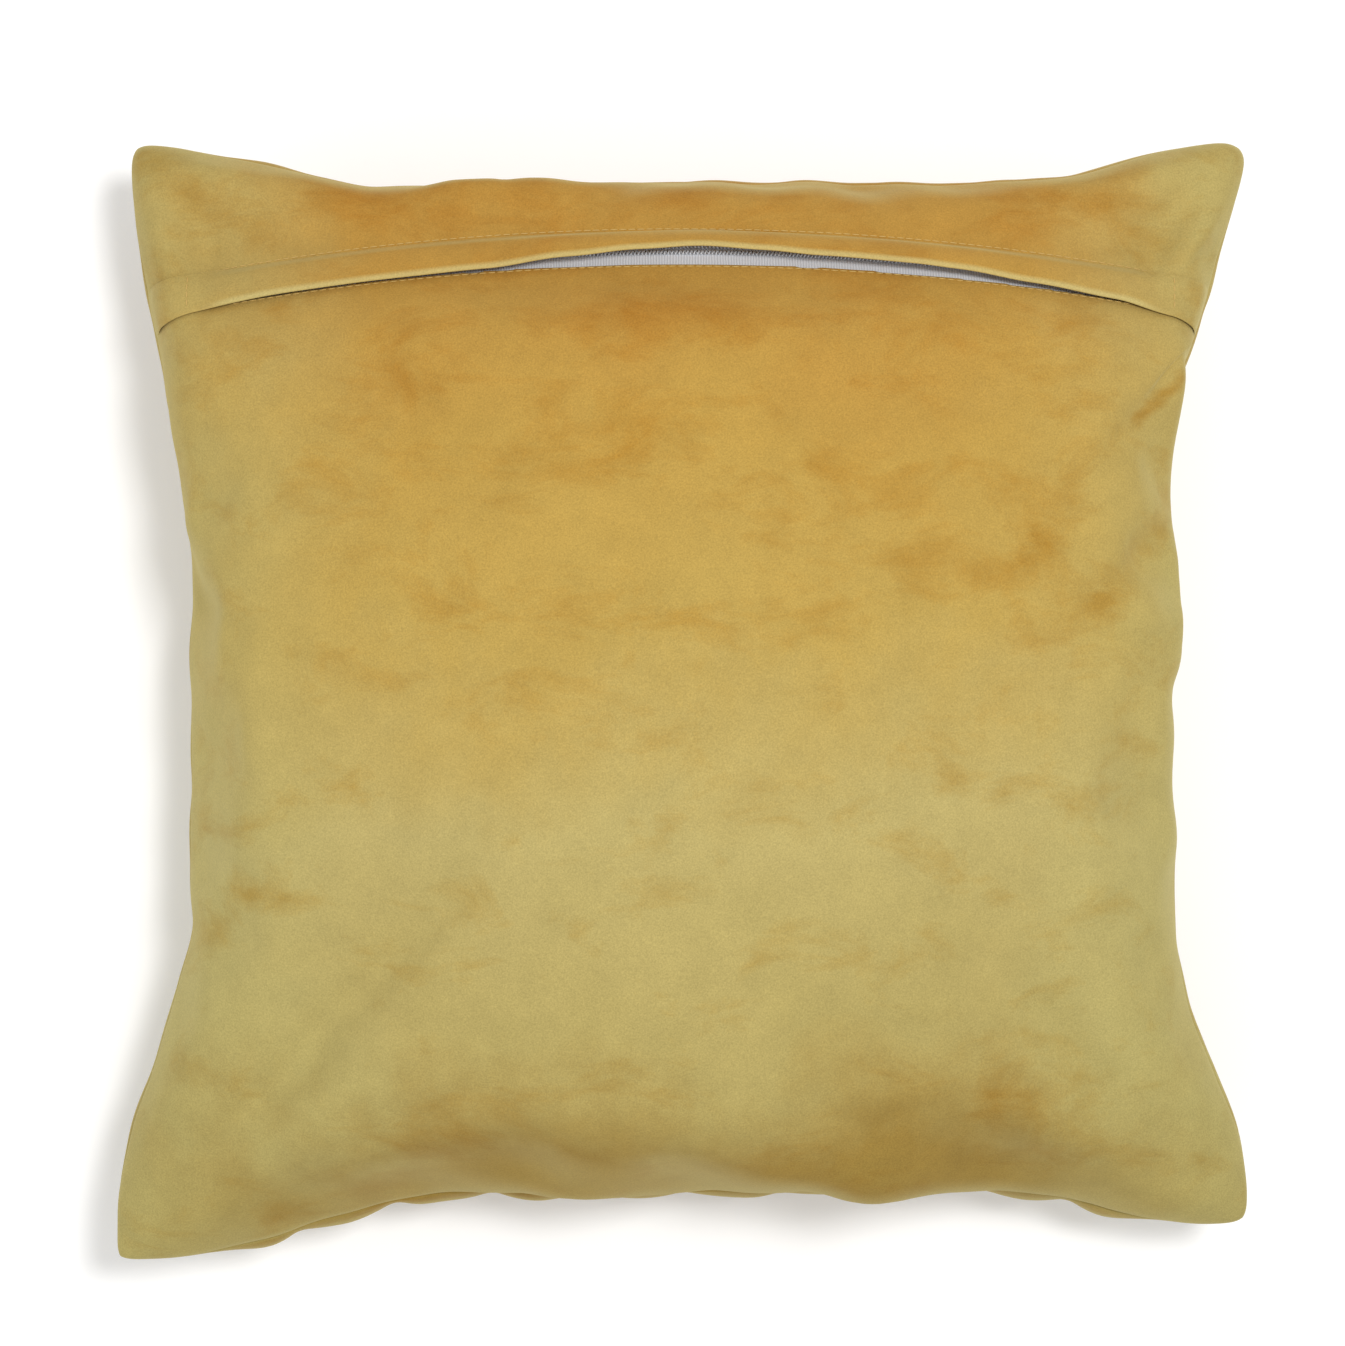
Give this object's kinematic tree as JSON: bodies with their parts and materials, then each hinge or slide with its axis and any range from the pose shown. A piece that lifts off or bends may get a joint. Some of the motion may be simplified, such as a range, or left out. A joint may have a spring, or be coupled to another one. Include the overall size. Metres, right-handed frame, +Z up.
{
  "type": "throw pillow",
  "caption": "Square velvet throw pillow with a gathered front, a plain back, a lapped zip under a topstitched flap and a fibre insert.",
  "frame": {"origin": "on the surface the pillow rests on, below the middle of its outline", "axes": "+X across the pillow towards the closed end of the zip, +Y towards the edge beside the zip, +Z up through the back panels"},
  "size_m": [0.446, 0.44, 0.152],
  "materials": {
    "velvet": "short-pile mustard gold velvet",
    "zip_tape": "woven polyester tape",
    "zip_coil": "moulded nylon coil",
    "slider_metal": "enamelled zinc casting",
    "thread": "spun polyester sewing thread",
    "insert_thread": "spun polyester sewing thread",
    "ticking": "plain-weave cotton ticking",
    "filling": "loose hollow polyester fibre"
  },
  "bodies": {
    "cover": {"front_panel": "velvet", "back_upper_panel": "velvet", "back_lower_panel": "velvet", "zip_tape_upper": "zip_tape", "zip_tape_lower": "zip_tape", "zip_coil_upper": "zip_coil", "zip_coil_lower": "zip_coil", "flap_topstitch": "thread", "edge_topstitch": "thread", "end_tack_left": "thread", "end_tack_right": "thread", "cover_seam_thread": "thread", "insert_seam_thread": "insert_thread", "insert_case_back": "ticking", "insert_case_front": "ticking", "insert_filling": "filling"},
    "slider": {"zip_slider": "slider_metal"},
    "tab": {"pull_tab": "slider_metal"},
    "flap": {"zip_flap": "velvet"}
  },
  "joints": [
    {"name": "zip_travel", "type": "hinge", "parent": "cover", "child": "slider", "pos_m": [0, -0.25129, -0.47357], "axis": [0, -0.8028, 0.5962], "range_deg": [0, 25.99]},
    {"name": "tab_swing", "type": "hinge", "parent": "slider", "child": "tab", "pos_m": [0.15986, 0.16127, 0.0945], "axis": [0.225, 0.5809, 0.7822], "range_deg": [0, 70]},
    {"name": "flap_lift", "type": "hinge", "parent": "cover", "child": "flap", "pos_m": [0, 0.17776, 0.10463], "axis": [-1, 0, 0], "range_deg": [0, 40]}
  ]
}
